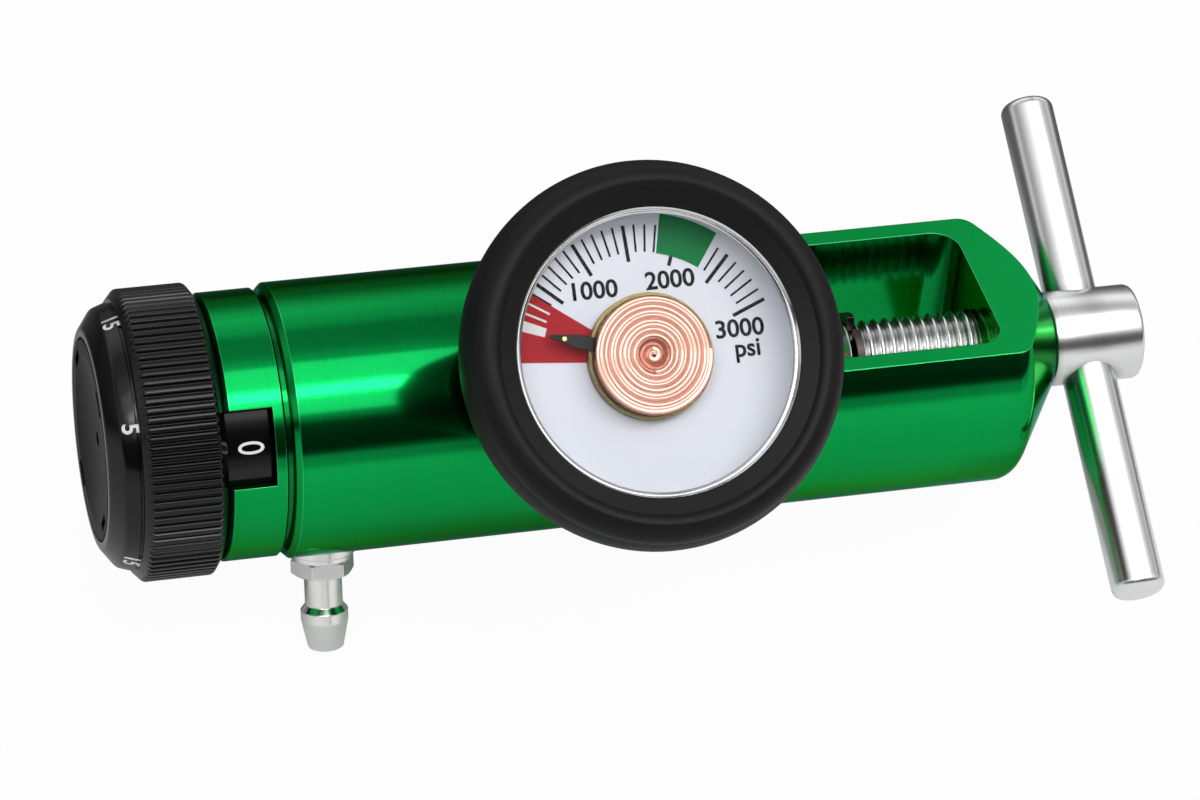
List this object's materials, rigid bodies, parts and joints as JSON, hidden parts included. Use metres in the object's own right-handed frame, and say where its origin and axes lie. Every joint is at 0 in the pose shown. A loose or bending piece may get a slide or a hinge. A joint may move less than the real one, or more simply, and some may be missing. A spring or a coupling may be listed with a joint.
{
  "type": "oxygen regulator",
  "caption": "Pressure regulator with a pin-indexed yoke and clamp screw, round contents gauge, rotary flow knob and hose barb outlet.",
  "frame": {"origin": "centre of the inlet seat face, where the nipple stands out of the yoke's left wall, on the body's axis", "axes": "+X along the body's axis from the flow knob to the tee handle, +Z through the yoke window along the cylinder's valve post, -Y towards the side that the gauge leans to"},
  "size_m": [0.1379, 0.0766, 0.0753],
  "materials": {
    "anodised_green": "satin anodised",
    "black_plastic": "moulded, fine satin",
    "boot_rubber": "moulded rubber",
    "seal_rubber": "O-ring rubber",
    "plated_brass": "bright nickel plate",
    "turned_brass": "turned",
    "copper": "flattened tube",
    "steel": "bright steel",
    "stainless": "polished, fine turning marks",
    "dial_white": "white print",
    "needle_black": "black paint",
    "clear_crystal": "clear moulded window",
    "seat_plastic": "hard seat plastic",
    "sintered_bronze": "sintered"
  },
  "bodies": {
    "regulator": {"yoke_body": "anodised_green", "yoke_frame": "anodised_green", "flow_head": "anodised_green", "inlet_nipple": "turned_brass", "inlet_filter": "sintered_bronze", "inlet_o_ring_right": "seal_rubber", "inlet_o_ring_left": "seal_rubber", "seal_washer_rubber": "seal_rubber", "seal_washer_shell": "turned_brass", "index_pin_rear": "stainless", "index_pin_front": "stainless", "regulating_spring": "steel", "flow_core": "turned_brass", "port_seal": "seal_rubber", "shaft_o_ring": "seal_rubber", "head_o_ring": "seal_rubber", "detent_spring": "steel", "head_screw_1": "steel", "head_screw_2": "steel", "head_screw_3": "steel", "barb_washer": "plated_brass", "barb_fitting": "plated_brass", "gauge_socket": "turned_brass", "gauge_case": "steel", "gauge_boot": "boot_rubber", "dial_plate": "dial_white", "coil_cup": "turned_brass", "bourdon_coil": "copper", "crystal": "clear_crystal", "gauge_bezel": "stainless"},
    "clamp_carrier": {"screw_retaining_ring": "steel"},
    "clamp_handle": {"clamp_screw": "stainless", "tee_bar": "stainless"},
    "flow_selector": {"flow_knob": "black_plastic", "knob_cap": "black_plastic", "knob_screw": "steel", "selector_shaft": "stainless", "orifice_disc": "turned_brass"},
    "needle": {"pointer": "needle_black"},
    "reducing_piston": {"piston": "turned_brass", "piston_seat": "seat_plastic", "piston_o_ring": "seal_rubber", "stem_o_ring": "seal_rubber"},
    "detent": {"detent_ball": "steel"}
  },
  "joints": [
    {"name": "clamp_travel", "type": "slide", "parent": "regulator", "child": "clamp_carrier", "axis": [1, 0, 0], "range_m": [0, 0.01576]},
    {"name": "clamp_turn", "type": "hinge", "parent": "clamp_carrier", "child": "clamp_handle", "pos_m": [0.0544, 0, 0], "axis": [1, 0, 0], "range_deg": [0, 3780]},
    {"name": "flow_turn", "type": "hinge", "parent": "regulator", "child": "flow_selector", "pos_m": [-0.068, 0, 0], "axis": [1, 0, 0], "range_deg": [0, 330]},
    {"name": "needle_sweep", "type": "hinge", "parent": "regulator", "child": "needle", "pos_m": [-0.0136, -0.02645, 0.02645], "axis": [0, 0.7071, -0.7071], "range_deg": [0, 142], "stiffness_Nm_per_rad": 0.0002},
    {"name": "piston_stroke", "type": "slide", "parent": "regulator", "child": "reducing_piston", "axis": [1, 0, 0], "range_m": [0, 0.0008], "stiffness_N_per_m": 2000, "deforming": ["regulating_spring"]},
    {"name": "detent_click", "type": "slide", "parent": "regulator", "child": "detent", "axis": [-1, 0, 0], "range_m": [0, 0.00025], "stiffness_N_per_m": 20, "deforming": ["detent_spring"]}
  ],
  "couplings": [
    {"joint": "clamp_travel", "follows": "clamp_turn", "m_per_rad": 0.00023873}
  ]
}
